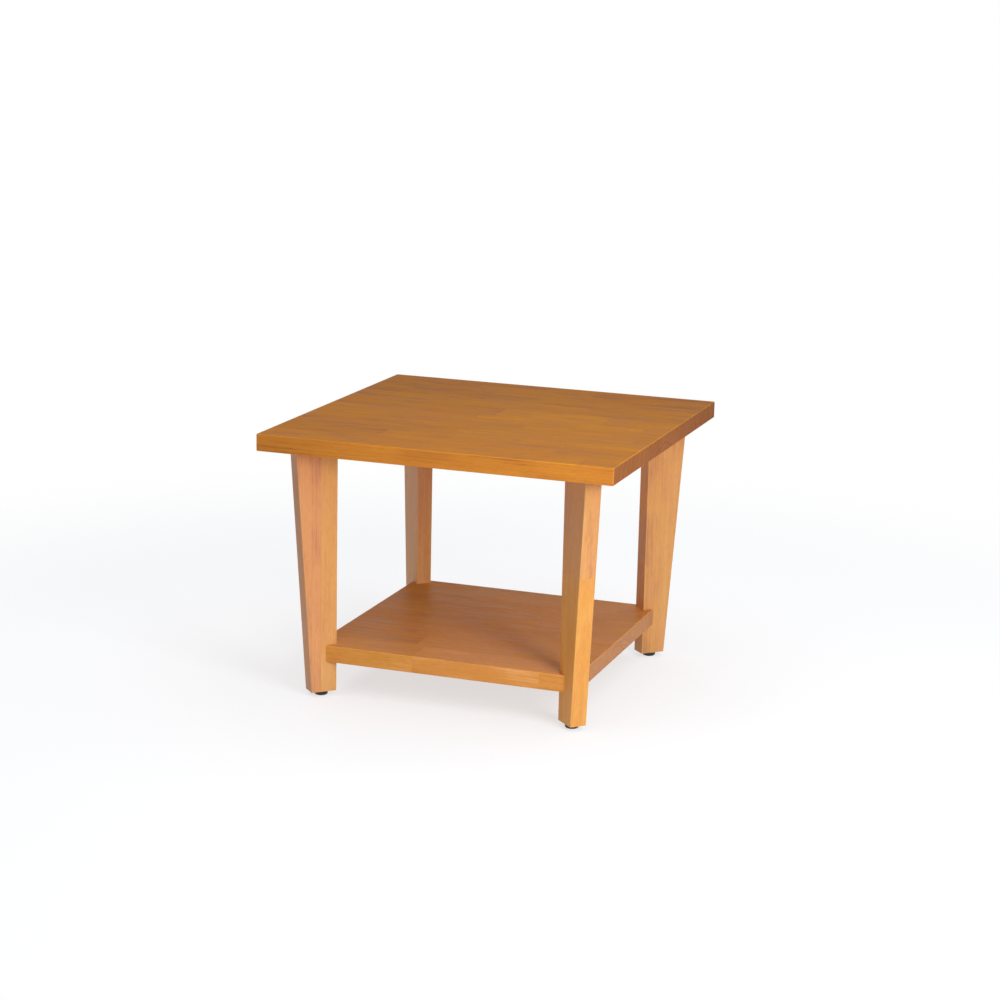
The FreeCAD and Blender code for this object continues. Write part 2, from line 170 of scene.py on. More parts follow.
# %% The group's sockets
wood = bpy.data.node_groups.new("solid_wood", "ShaderNodeTree")
WOOD_NEEDS = {
    "Board": "Vector",
    "Facing": "Vector",
    "Tone": "Float",
    "Seed": "Float",
    "Seam": "Float",
    "Rosy": "Float",
    "Deep": "Color",
    "Middle": "Color",
    "Pale": "Color",
    "End": "Color",
}
WOOD_GIVES = {"Colour": "Color", "Roughness": "Float", "Height": "Float"}
for sockets, way in ((WOOD_NEEDS, "INPUT"), (WOOD_GIVES, "OUTPUT")):
    for name, kind in sockets.items():
        wood.interface.new_socket(name, in_out=way, socket_type=f"NodeSocket{kind}")
given = wood.nodes.new("NodeGroupInput").outputs
result = wood.nodes.new("NodeGroupOutput").inputs
print("solid_wood needs", ", ".join(WOOD_NEEDS))

# %% [markdown]
# Each block of a glued-up board comes from another tree. White noise turns the block's number into three
# chances. They place the pith, which is the middle of the tree, somewhere below the board, and they move
# the other patterns too, so that no two blocks look alike. No tree is quite straight, so slow noise bends
# the grain by a few millimetres either way.

# %% The tree of each block
PITH = (0.0, -0.04, -0.11)
PITH_SCATTER = (0.0, 0.08, 0.07)
BLOCK_SHIFT = (9.0, 9.0, 9.0)
BEND_GRAIN = (2.4, 9.0, 9.0)
BEND = (0.0, 0.018, 0.018)
BEND_BACK = (0.0, -0.009, -0.009)
chance = node(wood, "TexWhiteNoise", {"W": given["Seed"]}, noise_dimensions="1D").outputs["Color"]
pith = reckon_vector(wood, "MULTIPLY_ADD", chance, PITH_SCATTER, PITH)
own_place = reckon_vector(wood, "MULTIPLY_ADD", chance, BLOCK_SHIFT, given["Board"])
stretched = reckon_vector(wood, "MULTIPLY", own_place, BEND_GRAIN)
bend = node(wood, "TexNoise", {"Vector": stretched, "Scale": 1.0, "Detail": 2.0}).outputs["Color"]
bend = reckon_vector(wood, "MULTIPLY_ADD", bend, BEND, BEND_BACK)
print("the grain bends by", round(BEND[1] / 2 / MM, 1), "mm at most")

# %% [markdown]
# The growth rings follow from the distance to the pith, which noise in one dimension reads off: some years
# give a wide ring and some a narrow one.

# %% Growth rings
RINGS_PER_METRE = 190.0
FIRST_YEAR = 31.0
ACROSS_GRAIN = (0.0, 1.0, 1.0)
from_pith = reckon_vector(wood, "ADD", reckon_vector(wood, "SUBTRACT", given["Board"], pith), bend)
radius = reckon_vector(wood, "LENGTH", reckon_vector(wood, "MULTIPLY", from_pith, ACROSS_GRAIN))
first_year = reckon(wood, "MULTIPLY", given["Seed"], FIRST_YEAR)
year = reckon(wood, "MULTIPLY_ADD", radius, RINGS_PER_METRE, first_year)
rings = node(wood, "TexNoise", {"W": year, "Scale": 1.0, "Detail": 2.0}, noise_dimensions="1D")
rings = spread(wood, rings.outputs[0], *NOISE_SPAN)
print("about", round(1 / RINGS_PER_METRE / MM, 1), "mm to a ring")

# %% [markdown]
# Four more patterns are stretched along the grain. Fibres are long and thin. Pores are short dark dashes,
# which this kind of wood shows on every face. Mottle is where the stain took more or less, in blotches the
# size of a thumb. Blush is wider still: patches where the wood itself is rosier.

# %% Fibres, pores, mottle and blush
FIBRE_GRAIN = (7.0, 400.0, 400.0)
PORE_GRAIN = (70.0, 900.0, 900.0)
PORE_SPAN = (0.70, 0.95)
MOTTLE_GRAIN = (11.0, 32.0, 32.0)
BLUSH_GRAIN = (4.0, 9.0, 9.0)
fibres = cloud(wood, own_place, FIBRE_GRAIN, 3.0)
pores = spread(wood, cloud(wood, own_place, PORE_GRAIN, 1.0), *PORE_SPAN)
mottle = cloud(wood, own_place, MOTTLE_GRAIN, 3.0)
blush = cloud(wood, own_place, BLUSH_GRAIN, 1.0)
print("a fibre is about", round(1 / FIBRE_GRAIN[0] / MM), "mm long")

# %% [markdown]
# The parts add up to one number, which picks a colour between the deep, the middle and the pale tone of
# this wood. The tone of the whole block has the largest say, as on a real glued-up panel.

# %% The wood's colour
SHARES = ((given["Tone"], 0.46), (mottle, 0.28), (rings, 0.14), (fibres, 0.24))
DEEP_LEVEL, MIDDLE_LEVEL, PALE_LEVEL = 0.05, 0.5, 0.95
level = MIDDLE_LEVEL
for part, share in SHARES:
    level = reckon(wood, "MULTIPLY_ADD", reckon(wood, "SUBTRACT", part, 0.5), share, level)
colour = blend(wood, spread(wood, level, DEEP_LEVEL, MIDDLE_LEVEL), given["Deep"], given["Middle"])
colour = blend(wood, spread(wood, level, MIDDLE_LEVEL, PALE_LEVEL), colour, given["Pale"])
print("the colour follows from", len(SHARES), "parts")

# %% [markdown]
# Over that go the rosy patches, and then the dark marks: the pores, and the glue seam between two staves.
# They shade the wood that is there, so each is a product with its colour and not a new colour.

# %% Rosy patches, pores and seams
ROSY = (1.00, 0.90, 1.25, 1.0)
ROSY_CHANGE, ROSY_LEAST = 0.6, 0.4
PORE_STAIN = (0.58, 0.46, 0.42, 1.0)
PORE_DEPTH, SEAM_DEPTH = 0.20, 0.30
patches = reckon(wood, "MULTIPLY_ADD", blush, ROSY_CHANGE, ROSY_LEAST)
rosy = reckon(wood, "MULTIPLY", patches, given["Rosy"])
colour = blend(wood, rosy, colour, blend(wood, 1.0, colour, ROSY, "MULTIPLY"))
stained = blend(wood, 1.0, colour, PORE_STAIN, "MULTIPLY")
in_pore = reckon(wood, "MULTIPLY", pores, PORE_DEPTH)
in_seam = reckon(wood, "MULTIPLY", given["Seam"], SEAM_DEPTH)
dark = reckon(wood, "MAXIMUM", in_pore, in_seam)
colour = blend(wood, dark, colour, stained)
print("pores take", PORE_DEPTH, "of the stain, seams", SEAM_DEPTH)

# %% [markdown]
# The ends of the boards drink more stain, because there the pores are open. The facing along X is nearly
# 1 on them, and the rings and open pores speckle them.

# %% End grain
END_FACING = (0.75, 0.95)
SPECKLE_GRAIN = (60.0, 700.0, 700.0)
END_SHADE = (0.66, 0.62, 0.62, 1.0)
END_LIGHT = (1.30, 1.32, 1.30, 1.0)
END_TONE_SHARE, END_PATTERN_SHARE = 0.3, 0.7
facing = split(wood, reckon_vector(wood, "ABSOLUTE", given["Facing"]))
at_end = spread(wood, facing["X"], *END_FACING)
speckle = cloud(wood, own_place, SPECKLE_GRAIN, 2.0)
end_pattern = reckon(wood, "MULTIPLY", average(wood, rings, speckle), END_PATTERN_SHARE)
end_level = reckon(wood, "MULTIPLY_ADD", given["Tone"], END_TONE_SHARE, end_pattern)
end_dark = blend(wood, 1.0, given["End"], END_SHADE, "MULTIPLY")
end_light = blend(wood, 1.0, given["End"], END_LIGHT, "MULTIPLY")
colour = blend(wood, at_end, colour, blend(wood, end_level, end_dark, end_light))
print("end grain starts where the facing along X passes", END_FACING[0])

# %% [markdown]
# On the eased arrises no facing reaches 1. There the colour is let up a little along every edge: partly
# stain that sanding and handling have thinned, partly a painted highlight where light catches the rounded
# edges. The satin lacquer is glossier over some fibres than over others, and duller on the ends, which
# soak it up. The height for the bump follows the fibres, with the pores and seams sunk in.

# %% Arrises, roughness and height
ARRIS_FACING = (0.985, 0.90)
ARRIS_SHARE = 0.40
GLOSS_SPAN = (0.4, 1.6)
SATIN = (0.40, 0.55)
END_DULLNESS = 0.10
FIBRE_HEIGHT = 0.5
flattest = reckon(wood, "MAXIMUM", facing["X"], reckon(wood, "MAXIMUM", facing["Y"], facing["Z"]))
# Lighter along every edge: partly thinned stain, partly a painted highlight.
rubbed_and_highlit = reckon(wood, "MULTIPLY", spread(wood, flattest, *ARRIS_FACING), ARRIS_SHARE)
feed(wood, result["Colour"], blend(wood, rubbed_and_highlit, colour, given["Pale"]))
gloss = spread(wood, reckon(wood, "ADD", fibres, mottle), *GLOSS_SPAN, *SATIN)
feed(wood, result["Roughness"], reckon(wood, "MULTIPLY_ADD", at_end, END_DULLNESS, gloss))
feed(wood, result["Height"], reckon(wood, "SUBTRACT", reckon(wood, "MULTIPLY", fibres, FIBRE_HEIGHT), dark))
print("solid_wood has", len(wood.nodes), "nodes")

# %% [markdown]
# ## Board space
#
# A panel lies along the room's axes, but a leg stands upright and is turned to its corner. A Mapping node
# of the Texture kind takes the room's coordinates into the leg's own frame. Taking them in another order
# then lays the leg down, so that its grain runs along X as the group expects.


# %% From the room to the board
def board_space(tree, place, turn=0.0, upright=False):
    """Position and facing in a board's own space, with X along its grain."""
    room = node(tree, "TexCoord").outputs
    feeds = {"Vector": room["Object"], "Location": place, "Rotation": (0.0, 0.0, turn)}
    position = node(tree, "Mapping", feeds, vector_type="TEXTURE").outputs[0]
    feeds = {"Vector": room["Normal"], "Rotation": (0.0, 0.0, -turn)}
    direction = node(tree, "Mapping", feeds, vector_type="VECTOR").outputs[0]
    return [laid_down(tree, v) if upright else v for v in (position, direction)]


def laid_down(tree, vector):
    """Takes up, out and sideways as X, Y and Z."""
    parts = split(tree, vector)
    return node(tree, "CombineXYZ", {"X": parts["Z"], "Y": parts["X"], "Z": parts["Y"]}).outputs[0]


# %% [markdown]
# Every wooden piece is joined to the group in the same way: its colour, its roughness and a fine bump. The
# sheen of the lacquer is the same all over a piece, so it is set on the shader's own socket.

# %% Lacquer
LACQUER_BUMP = {"Strength": 0.2, "Distance": 0.0002}


def lacquer(name, tree, shader, sheen, **needs):
    """Joins the solid wood group to a shader, under a thin satin lacquer."""
    group = node(tree, "Group", node_tree=wood)
    for need, source in needs.items():
        feed(tree, group.inputs[need], source)
    feed(tree, shader.inputs["Base Color"], group.outputs["Colour"])
    feed(tree, shader.inputs["Roughness"], group.outputs["Roughness"])
    bump = node(tree, "Bump", {"Height": group.outputs["Height"], **LACQUER_BUMP})
    feed(tree, shader.inputs["Normal"], bump.outputs["Normal"])
    shader.inputs["Specular IOR Level"].default_value = sheen
    print(name, "finished")


# %% [markdown]
# ## The top and the shelf
#
# Both panels are glued up from staves about 64 mm wide, and each stave from blocks set end to end. Each
# list has a line for every stave, from front to back: the shades of its three blocks, and how far along
# the panel its two end joints are. There are five shades, and they were given to the blocks one by one,
# looking at the photograph. Blocks that it doesn't show are guessed.

# %% The staves
STAVE = 64.0 * MM
FIRST_STAVE = 63.0 * MM
DARK, BROWN, AMBER, HONEY, PALE = 0.20, 0.36, 0.48, 0.60, 0.76
# The darker shades of the back rows and of their left ends are partly painted shade: the top falls off into
# shade towards the back left.
TOP_STAVES = [
    ((AMBER, AMBER, BROWN), (0.60, 0.90)),
    ((DARK, AMBER, BROWN), (0.30, 0.80)),
    ((BROWN, HONEY, HONEY), (0.47, 0.745)),
    ((AMBER, HONEY, BROWN), (0.62, 0.95)),
    ((AMBER, PALE, HONEY), (0.45, 0.93)),
    ((BROWN, PALE, HONEY), (0.49, 0.80)),
    ((BROWN, AMBER, BROWN), (0.35, 0.70)),
    ((DARK, BROWN, BROWN), (0.38, 0.75)),
    ((DARK, BROWN, DARK), (0.30, 0.65)),
    ((DARK, DARK, DARK), (0.50, 0.80)),
]
# The paler shades of the back rows are partly painted light and sheen, for the brighter back of the shelf.
SHELF_STAVES = [
    ((AMBER, PALE, HONEY), (0.38, 0.86)),
    ((DARK, AMBER, BROWN), (0.34, 0.90)),
    ((BROWN, AMBER, HONEY), (0.28, 0.70)),
    ((BROWN, AMBER, HONEY), (0.46, 0.78)),
    ((AMBER, AMBER, HONEY), (0.34, 0.66)),
    ((AMBER, HONEY, PALE), (0.52, 0.88)),
    ((HONEY, PALE, PALE), (0.40, 0.74)),
    ((AMBER, HONEY, PALE), (0.60, 0.92)),
]
print(len(TOP_STAVES), "staves in the top,", len(SHELF_STAVES), "in the shelf")

# %% [markdown]
# A colour ramp with constant steps looks a stave up: it is a table in three columns, with red, green and
# blue as the columns. One ramp holds the shades. Another holds the places of the end joints and the
# stave's number, which gives each block a seed of its own. A colour goes from 0 to 1, so the number is
# kept there as a share of ten.

# %% Looking up a block
MOST_STAVES = 10
BLOCK_SEED, STAVE_SEED, PANEL_SEED = 3.7, 100.0, 1000


def stave_table(tree, across, rows):
    """A ramp with one flat step for each stave: where it starts, and three numbers that it carries."""
    ramp = node(tree, "ValToRGB", {"Fac": across})
    ramp.color_ramp.interpolation = "CONSTANT"
    steps = ramp.color_ramp.elements
    for index, (start, values) in enumerate(rows):
        step = steps[index] if index < len(steps) else steps.new(start)
        step.position = start
        step.color = (*values, 1.0)
    return node(tree, "SeparateColor", {"Color": ramp.outputs["Color"]}).outputs


def block_at(tree, staves, size, along, across):
    """The shade of the block at each point, and its seed."""
    starts = [max(0.0, (FIRST_STAVE + STAVE * (n - 1)) / size.y) for n in range(len(staves))]
    rows = [(start, *stave) for start, stave in zip(starts, staves)]
    shades = stave_table(tree, across, [(start, three) for start, three, _ in rows])
    numbered = [(start, (*two, n / MOST_STAVES)) for n, (start, _, two) in enumerate(rows)]
    joints = stave_table(tree, across, numbered)
    past = [reckon(tree, "GREATER_THAN", along, joints[n]) for n in (0, 1)]
    shade = shades[0]
    for n in (0, 1):
        step = reckon(tree, "SUBTRACT", shades[n + 1], shades[n])
        shade = reckon(tree, "MULTIPLY_ADD", past[n], step, shade)
    seed = reckon(tree, "MULTIPLY", joints[2], STAVE_SEED)
    seed = reckon(tree, "MULTIPLY_ADD", reckon(tree, "ADD", *past), BLOCK_SEED, seed)
    return shade, reckon(tree, "ADD", seed, PANEL_SEED * size.x)


# %% [markdown]
# A thin dark seam follows every glue line between two staves. A knot is a place where a branch once grew.
# The top has one small one, so its finish asks how far each point is from it.

# %% Seams and the knot
SEAM_SPAN = (0.012, 0.004)
TOP_KNOT = (-0.175, -0.117, 0.0145)
KNOT_STRETCH = (0.5, 1.0, 0.2)
KNOT_SPAN = (8.0 * MM, 2.0 * MM)


def dark_marks(tree, size, position, across, knot):
    """1 in a seam or the knot, 0 elsewhere."""
    stave_place = reckon(tree, "MULTIPLY_ADD", across, size.y / STAVE, -FIRST_STAVE / STAVE)
    seam = spread(tree, reckon(tree, "PINGPONG", stave_place, 0.5), *SEAM_SPAN)
    if not knot:
        return seam
    off = reckon_vector(tree, "SUBTRACT", position, knot)
    off = reckon_vector(tree, "LENGTH", reckon_vector(tree, "MULTIPLY", off, KNOT_STRETCH))
    return reckon(tree, "MAXIMUM", seam, spread(tree, off, *KNOT_SPAN))


# %% [markdown]
# The top is the deeper of the two panels in the photograph, and the shelf is paler and shines a little more.
# Both come from one function, which takes a panel's box from the frame, so that the staves follow its size.

# %% The panels' colours
TOP_SHEEN, SHELF_SHEEN = 0.01, 0.07
TOP_COLOURS = {
    "Rosy": 0.5,
    "Deep": (0.400, 0.140, 0.024, 1.0),
    "Middle": (0.640, 0.243, 0.034, 1.0),
    "Pale": (0.800, 0.335, 0.036, 1.0),
    "End": (0.420, 0.157, 0.055, 1.0),
}
SHELF_COLOURS = {
    "Rosy": 0.5,
    "Deep": (0.500, 0.200, 0.030, 1.0),
    "Middle": (0.690, 0.300, 0.056, 1.0),
    "Pale": (0.830, 0.415, 0.125, 1.0),
    # Paler than the top's end grain partly as painted light: the low shelf's ends get more light from the
    # floor.
    "End": (0.600, 0.280, 0.125, 1.0),
}


# %% The panels' finish
def panel_finish(name, panel, staves, sheen, colours, knot=None):
    low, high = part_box(panel)
    size = high - low
    material, tree, shader = new_finish(name)
    position, direction = board_space(tree, (low + high) / 2)
    parts = split(tree, position)
    along = reckon(tree, "MULTIPLY_ADD", parts["X"], 1 / size.x, 0.5)
    across = reckon(tree, "MULTIPLY_ADD", parts["Y"], 1 / size.y, 0.5)
    shade, seed = block_at(tree, staves, size, along, across)
    seam = dark_marks(tree, size, position, across, knot)
    needs = {"Board": position, "Facing": direction, "Tone": shade, "Seed": seed, "Seam": seam}
    lacquer(name, tree, shader, sheen, **needs, **colours)
    return material


top_wood = panel_finish("top_wood", "table_top", TOP_STAVES, TOP_SHEEN, TOP_COLOURS, TOP_KNOT)
wear(pieces["table_top"], top_wood)
shelf_wood = panel_finish("shelf_wood", "shelf", SHELF_STAVES, SHELF_SHEEN, SHELF_COLOURS)
wear(pieces["shelf"], shelf_wood)

# %% [markdown]
# ## The legs
#
# The legs are paler than the panels. Each is glued up from two staves, and the glue line runs straight
# down, 29 mm from the inner face, so the taper cuts only the outer stave. One leg also has an end joint,
# and goes on below it in more golden wood, which is also painted paler: painted light for the brighter
# lower part of that leg. The numbers for each corner are its signs along X and Y and the leg's turn in
# degrees, then the tone and the rosiness of the inner and of the outer stave.

# %% The legs' staves
INNER_FACE = 207.42 * MM
GLUE_LINE = 29.0 * MM
# The tones and rosiness are partly painted light and shade: the back left leg is paler where it catches more
# light. The front right leg and the back right leg's inner stave are darker, and the front left leg's outer
# stave darker and rosier, where their faces lie in shade.
CORNERS = {
    "front_left": (-1, -1, 225, (0.70, 0.45), (0.36, 1.2)),
    "front_right": (1, -1, 315, (0.20, 0.9), (0.38, 0.9)),
    "back_left": (-1, 1, 135, (0.95, 1.2), (1.05, 1.3)),
    "back_right": (1, 1, 45, (0.20, 0.5), (0.50, 0.7)),
}
END_JOINTS = {"front_right": 260.0 * MM}
LEG_SHEEN = 0.45
LEG_COLOURS = {
    "Deep": (0.530, 0.228, 0.080, 1.0),
    "Middle": (0.715, 0.354, 0.098, 1.0),
    "Pale": (0.780, 0.444, 0.148, 1.0),
    "End": (0.450, 0.190, 0.080, 1.0),
}
GOLDEN_COLOURS = {
    "Middle": (0.736, 0.315, 0.062, 1.0),
    "Pale": (0.803, 0.395, 0.093, 1.0),
}
print(len(CORNERS), "legs, and an end joint in", ", ".join(END_JOINTS))

# %% [markdown]
# A leg's own space starts on the floor under its inner face. X runs up the leg and Y outwards, so the glue
# line is a value of Y and the end joint a value of X. The tones of the two staves meet within 2 mm, and
# the golden wood, with its painted light, comes in softly, over 30 mm.

# %% The legs' finish
GLUE_SOFTNESS = 1.0 * MM
GLUE_SEAM = (0.8 * MM, 0.3 * MM)
GLUE_SEAM_DEPTH = 0.4
JOINT_SOFTNESS = 15.0 * MM
GOLD_AND_LIGHT_LIFT = 0.55
DEGREES_TO_A_SEED = 10
LEG_STAVE_SEED, LEG_JOINT_SEED = 5.3, 2.9


def leg_finish(corner):
    sign_x, sign_y, turn, inner, outer = CORNERS[corner]
    colours = dict(LEG_COLOURS)
    material, tree, shader = new_finish(f"leg_wood_{corner}")
    place = (sign_x * INNER_FACE, sign_y * INNER_FACE, 0.0)
    position, direction = board_space(tree, place, math.radians(turn), upright=True)
    parts = split(tree, position)
    in_outer = spread(tree, parts["Y"], GLUE_LINE - GLUE_SOFTNESS, GLUE_LINE + GLUE_SOFTNESS)
    tone, rosy = (reckon(tree, "MULTIPLY_ADD", in_outer, b - a, a) for a, b in zip(inner, outer))
    past_glue = reckon(tree, "GREATER_THAN", parts["Y"], GLUE_LINE)
    seed = reckon(tree, "MULTIPLY_ADD", past_glue, LEG_STAVE_SEED, turn / DEGREES_TO_A_SEED)
    if corner in END_JOINTS:
        joint = END_JOINTS[corner]
        # Below the joint: partly a more golden block of wood, partly painted light that makes it paler.
        golden_and_lit = spread(tree, parts["X"], joint + JOINT_SOFTNESS, joint - JOINT_SOFTNESS)
        tone = reckon(tree, "MULTIPLY_ADD", golden_and_lit, GOLD_AND_LIGHT_LIFT, tone)
        rosy = reckon(tree, "MULTIPLY", rosy, reckon(tree, "SUBTRACT", 1.0, golden_and_lit))
        below_joint = reckon(tree, "LESS_THAN", parts["X"], joint)
        seed = reckon(tree, "MULTIPLY_ADD", below_joint, LEG_JOINT_SEED, seed)
        for name, shade in GOLDEN_COLOURS.items():
            colours[name] = blend(tree, golden_and_lit, colours[name], shade)
    from_glue = reckon(tree, "ABSOLUTE", reckon(tree, "SUBTRACT", parts["Y"], GLUE_LINE))
    seam = spread(tree, from_glue, *GLUE_SEAM, 0.0, GLUE_SEAM_DEPTH)
    needs = {"Board": position, "Facing": direction, "Tone": tone, "Rosy": rosy, "Seed": seed, "Seam": seam}
    lacquer(material.name, tree, shader, LEG_SHEEN, **needs, **colours)
    return material


for corner in CORNERS:
    wear(pieces[f"leg_{corner}"], leg_finish(corner))

# %% [markdown]
# ## Metal and nylon
#
# The fittings are zinc-plated steel, and the inserts turned brass. Bare metal takes its look from its
# roughness, so that is where the noise goes: cloudy plating for the zinc, fine turning lines for the brass.

# %% Zinc and brass
PLATING_GRAIN = (160.0, 160.0, 160.0)
PLATING_SPAN = (0.2, 0.8)
METAL_BUMP = {"Strength": 0.15, "Distance": 0.00005}


def metal_finish(name, dark, light, smooth, rough, lines):
    material, tree, shader = new_finish(name)
    place = node(tree, "TexCoord").outputs["Object"]
    clouds = cloud(tree, place, PLATING_GRAIN, 4.0)
    fine = cloud(tree, place, lines, 2.0)
    feed(tree, shader.inputs["Base Color"], blend(tree, clouds, dark, light))
    both = average(tree, clouds, fine)
    feed(tree, shader.inputs["Roughness"], spread(tree, both, *PLATING_SPAN, smooth, rough))
    bump = node(tree, "Bump", {"Height": fine, **METAL_BUMP})
    feed(tree, shader.inputs["Normal"], bump.outputs["Normal"])
    shader.inputs["Metallic"].default_value = 1.0
    print(name, "made")
    return material


zinc = metal_finish(
    "zinc",
    dark=(0.50, 0.52, 0.55, 1.0),
    light=(0.70, 0.71, 0.72, 1.0),
    smooth=0.26,
    rough=0.46,
    lines=(900.0, 900.0, 900.0),
)
brass = metal_finish(
    "brass",
    dark=(0.56, 0.37, 0.12, 1.0),
    light=(0.74, 0.53, 0.22, 1.0),
    smooth=0.24,
    rough=0.40,
    lines=(40.0, 40.0, 2500.0),
)

# %% [markdown]
# The glides are moulded nylon, with the fine grain of the mould. They are rubbed grey where they slide on
# the floor, which is the lowest 2 mm.

# %% Nylon
NYLON_GRAIN = (1800.0, 1800.0, 1800.0)
SCUFF_GRAIN = (90.0, 700.0, 300.0)
RUBBED_HEIGHT = (2.2 * MM, 0.2 * MM)
GRAIN_SHARE, SCUFF_SHARE = 0.06, 0.6
BLACK = (0.012, 0.012, 0.013, 1.0)
RUBBED_GREY = (0.16, 0.155, 0.15, 1.0)
NYLON_ROUGHNESS = (0.42, 0.60)
NYLON_BUMP = {"Strength": 0.3, "Distance": 0.00004}
nylon, tree, shader = new_finish("black_nylon")
place = node(tree, "TexCoord").outputs["Object"]
grain = cloud(tree, place, NYLON_GRAIN, 2.0)
scuffs = cloud(tree, place, SCUFF_GRAIN, 3.0)
low_down = spread(tree, split(tree, place)["Z"], *RUBBED_HEIGHT)
scuffed = reckon(tree, "MULTIPLY", reckon(tree, "MULTIPLY", low_down, scuffs), SCUFF_SHARE)
grey = reckon(tree, "MULTIPLY_ADD", grain, GRAIN_SHARE, scuffed)
feed(tree, shader.inputs["Base Color"], blend(tree, grey, BLACK, RUBBED_GREY))
feed(tree, shader.inputs["Roughness"], spread(tree, grain, 0.0, 1.0, *NYLON_ROUGHNESS))
bump = node(tree, "Bump", {"Height": grain, **NYLON_BUMP})
feed(tree, shader.inputs["Normal"], bump.outputs["Normal"])
print("black_nylon made")

# %% [markdown]
# The plates, the washers and the inserts are plain pressed or turned metal, so their CAD solids are right
# as they are and only need their finish.

# %% Plates, washers and inserts
for name, piece in pieces.items():
    if name.startswith("leg_plate") or name == "hanger_washers":
        wear(piece, zinc)
wear(pieces["glide_inserts"], brass)
print("plates, washers and inserts finished")

# %% [markdown]
# ## Tools for turned and threaded pieces
#
# Round pieces are drawn as half an outline and spun about Z. A thread is spun too, but its outline climbs
# by one pitch as it goes round, so the end of each turn meets the start of the next, and merging the
# doubles joins them into one skin. Everything is drawn in millimetres at the origin and put in its place,
# in metres, at the end.

# %% Turning
WELD = 0.001


def outline_edges(shape, outline):
    """Draws (radius, height) points as a line of edges."""
    line = [shape.verts.new((r, 0, z)) for r, z in outline]
    return line + [shape.edges.new(pair) for pair in zip(line, line[1:])]


def turned(outline, steps=48):
    """Spins an outline of (radius, height) points about Z."""
    shape = bmesh.new()
    geometry = outline_edges(shape, outline)
    bmesh.ops.spin(shape, geom=geometry, axis=(0, 0, 1), angle=math.tau, steps=steps, use_merge=True)
    bmesh.ops.remove_doubles(shape, verts=shape.verts, dist=WELD)
    return shape


# %% Threads
THREAD_DEPTH = 0.6
THREAD_WELD = 0.005
# One tooth: whether each point is on the crest, and how far up the pitch it lies.
THREAD_PROFILE = ((False, 0.0), (False, 0.12), (True, 0.44), (True, 0.56), (False, 0.88))


def threaded(radius, pitch, low, high, steps=16):
    """A screw thread about Z, cut off square at both ends."""
    shape = bmesh.new()
    root = radius - THREAD_DEPTH * pitch
    tooth = [(radius if crest else root, share) for crest, share in THREAD_PROFILE]
    turns = range(-2, math.ceil((high - low) / pitch) + 1)
    geometry = outline_edges(shape, [(r, low + (n + share) * pitch) for n in turns for r, share in tooth])
    climb = (0, 0, pitch / steps)
    bmesh.ops.spin(shape, geom=geometry, axis=(0, 0, 1), dvec=climb, angle=math.tau, steps=steps)
    bmesh.ops.remove_doubles(shape, verts=shape.verts, dist=THREAD_WELD)
    for height, way in ((low, -1), (high, 1)):
        everything = shape.verts[:] + shape.edges[:] + shape.faces[:]
        cut = bmesh.ops.bisect_plane(
            shape, geom=everything, plane_co=(0, 0, height), plane_no=(0, 0, way), clear_outer=True
        )
        rim = [part for part in cut["geom_cut"] if isinstance(part, bmesh.types.BMEdge)]
        bmesh.ops.edgeloop_fill(shape, edges=rim)
    return shape


# %% [markdown]
# A hexagon is a turned piece too: the outermost points are drawn out from the circle to the six corners.
# Where they go out, they also drop a little, which gives the rounded chamfer of a real nut or bolt head.

# %% Hexagons
CHAMFER_START = 0.94
CHAMFER_SLOPE = 0.577
SIXTH = math.pi / 3


def hexagon(flats, low, high, hole):
    """A nut or head between two heights, chamfered at both ends."""
    half = flats / 2
    flat = half * CHAMFER_START
    outline = [(hole, low), (flat, low), (half, low), (half, high), (flat, high), (hole, high)]
    if hole:
        outline.append((hole, low))
    shape = turned(outline)
    for vert in shape.verts:
        if vert.co.xy.length > (flat + half) / 2:
            angle = math.atan2(vert.co.y, vert.co.x)
            corner = half / math.cos((angle + SIXTH / 2) % SIXTH - SIXTH / 2)
            vert.co.xy *= corner / vert.co.xy.length
            drop = (corner - half) * CHAMFER_SLOPE
            vert.co.z += drop if vert.co.z < (low + high) / 2 else -drop
    return shape


# %% [markdown]
# The shapes of a piece are put together in their places, and then the piece is handed over: it rides on
# one of the object's bodies and stands in for the CAD solids.

# %% Joining and handing over
SHARP_ANGLE = math.radians(35)


def joined(*placed):
    """Puts (shape, place) pairs together as one shape."""
    whole = bmesh.new()
    for shape, place in placed:
        bmesh.ops.transform(shape, matrix=place, verts=shape.verts)
        mesh = bpy.data.meshes.new("part")
        shape.to_mesh(mesh)
        shape.free()
        whole.from_mesh(mesh)
        bpy.data.meshes.remove(mesh)
    return whole


def new_piece(name, shape, finish, slot, body, *replaced):
    """Turns a shape in millimetres into a piece that rides on a body in place of CAD nodes."""
    bmesh.ops.recalc_face_normals(shape, faces=shape.faces)
    bmesh.ops.scale(shape, vec=(MM, MM, MM), verts=shape.verts)
    mesh = bpy.data.meshes.new(name)
    shape.to_mesh(mesh)
    shape.free()
    mesh.shade_smooth()
    mesh.set_sharp_from_angle(angle=SHARP_ANGLE)
    mesh.materials.append(finish)
    piece = bpy.data.objects.new(name, mesh)
    bpy.context.scene.collection.objects.link(piece)
    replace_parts(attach(piece, body), *replaced)
    print(name, "has", len(mesh.polygons), "faces")


# %% [markdown]
# ## The glides
#
# A glide's foot is moulded: a soft lower edge that rides over carpet, a hollow sole, a thin parting line
# round the side, and a pocket on top that grips the stem's head. Its outline is drawn from the middle of
# the sole, round the side and down into the pocket.

